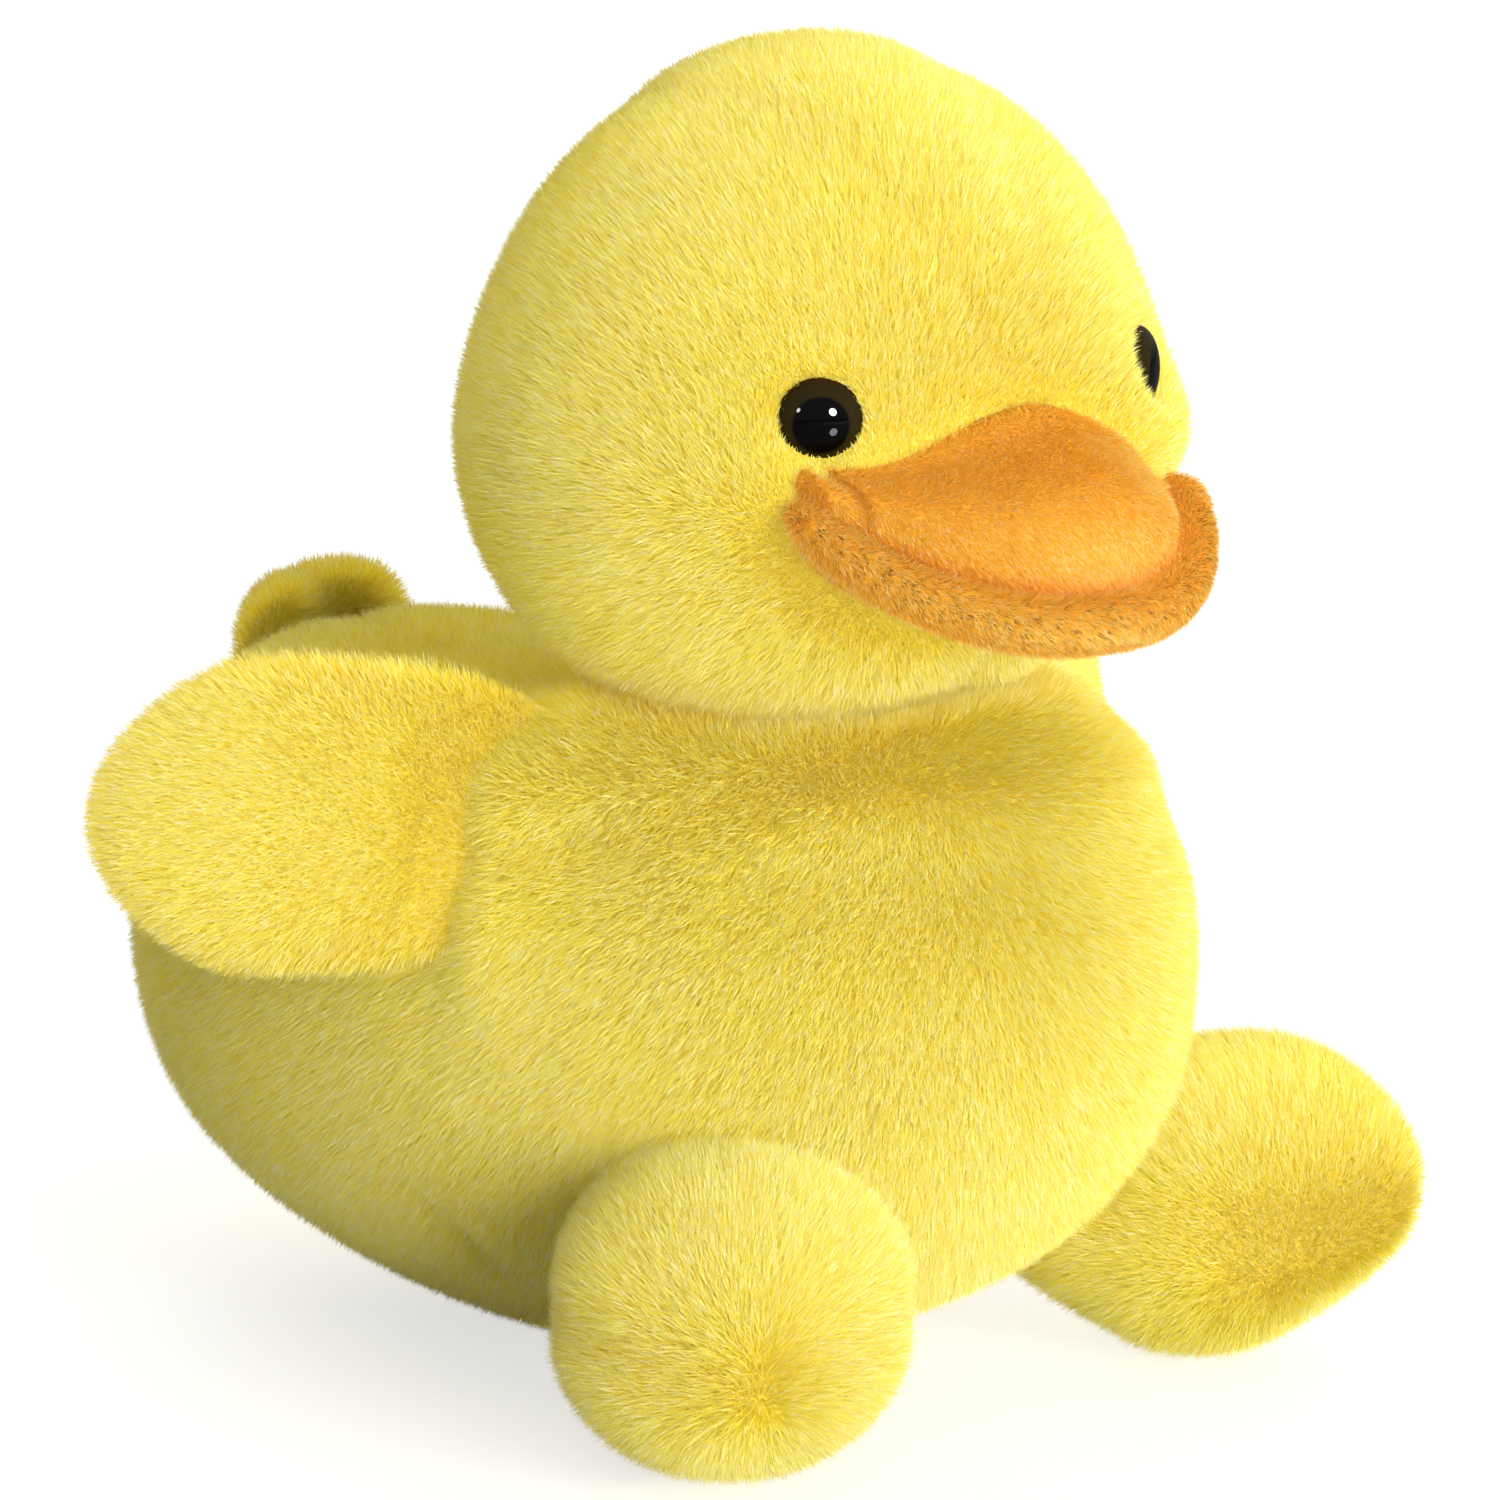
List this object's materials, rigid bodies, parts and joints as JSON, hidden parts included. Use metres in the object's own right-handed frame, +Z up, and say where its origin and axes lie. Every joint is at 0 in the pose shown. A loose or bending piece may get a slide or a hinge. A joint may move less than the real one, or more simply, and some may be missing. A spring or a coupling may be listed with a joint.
{
  "type": "plush toy duck",
  "caption": "Sitting yellow plush duck with a round head, soft orange bill, glossy dark eyes, short padded wings, forward feet and a small upturned tail",
  "frame": {"origin": "middle of the flat at the bottom of the belly, on the surface that the duck sits on", "axes": "+Z up, the duck faces -Y, its left side is at +X"},
  "size_m": [0.1822, 0.1873, 0.1905],
  "materials": {
    "yellow_plush": "long combed pile",
    "orange_plush": "short pile",
    "polyester_filling": "loose white fibre",
    "eye_plastic": "polished moulded dome",
    "washer_plastic": "plain moulded",
    "pouch_cloth": "plain woven",
    "pellet_plastic": "translucent beads"
  },
  "bodies": {
    "body": {"back_panel_left": "yellow_plush", "back_panel_right": "yellow_plush", "belly_panel": "yellow_plush", "body_stuffing": "polyester_filling", "pellet_fill": "pellet_plastic", "pellet_pouch_base": "pouch_cloth", "pellet_pouch_top": "pouch_cloth"},
    "head": {"bill_lower_panel": "orange_plush", "bill_stuffing": "polyester_filling", "bill_upper_panel": "orange_plush", "eye_left": "eye_plastic", "eye_right": "eye_plastic", "eye_washer_left": "washer_plastic", "eye_washer_right": "washer_plastic", "head_gusset": "yellow_plush", "head_side_left": "yellow_plush", "head_side_right": "yellow_plush", "head_stuffing": "polyester_filling"},
    "foot_left": {"foot_left_sole_panel": "yellow_plush", "foot_left_stuffing": "polyester_filling", "foot_left_upper_panel": "yellow_plush"},
    "foot_right": {"foot_right_sole_panel": "yellow_plush", "foot_right_stuffing": "polyester_filling", "foot_right_upper_panel": "yellow_plush"},
    "tail": {"tail_back_panel": "yellow_plush", "tail_front_panel": "yellow_plush", "tail_stuffing": "polyester_filling"},
    "wing_left": {"wing_left_inner_panel": "yellow_plush", "wing_left_outer_panel": "yellow_plush", "wing_left_stuffing": "polyester_filling"},
    "wing_right": {"wing_right_inner_panel": "yellow_plush", "wing_right_outer_panel": "yellow_plush", "wing_right_stuffing": "polyester_filling"}
  },
  "joints": [
    {"name": "head_turn", "type": "hinge", "parent": "body", "child": "head", "pos_m": [0, -0.0325, 0.0925], "axis": [0, 0, 1], "range_deg": [-20, 20], "stiffness_Nm_per_rad": 0.06},
    {"name": "wing_left_flap", "type": "hinge", "parent": "body", "child": "wing_left", "pos_m": [0.05613, -0.02422, 0.08168], "axis": [0.1848, -0.101, -0.9776], "range_deg": [-5, 50], "stiffness_Nm_per_rad": 0.03},
    {"name": "wing_right_flap", "type": "hinge", "parent": "body", "child": "wing_right", "pos_m": [-0.05613, -0.02422, 0.08168], "axis": [0.1848, 0.101, 0.9776], "range_deg": [-5, 50], "stiffness_Nm_per_rad": 0.03},
    {"name": "foot_left_lift", "type": "hinge", "parent": "body", "child": "foot_left", "pos_m": [0.03791, -0.06567, 0.046], "axis": [-0.866, -0.5, 0], "range_deg": [0, 25], "stiffness_Nm_per_rad": 0.05},
    {"name": "foot_right_lift", "type": "hinge", "parent": "body", "child": "foot_right", "pos_m": [-0.03791, -0.06566, 0.046], "axis": [-0.866, 0.5, 0], "range_deg": [0, 25], "stiffness_Nm_per_rad": 0.05},
    {"name": "tail_flop", "type": "hinge", "parent": "body", "child": "tail", "pos_m": [0, 0.08548, 0.08075], "axis": [-1, 0, 0], "range_deg": [-8, 30], "stiffness_Nm_per_rad": 0.02}
  ]
}
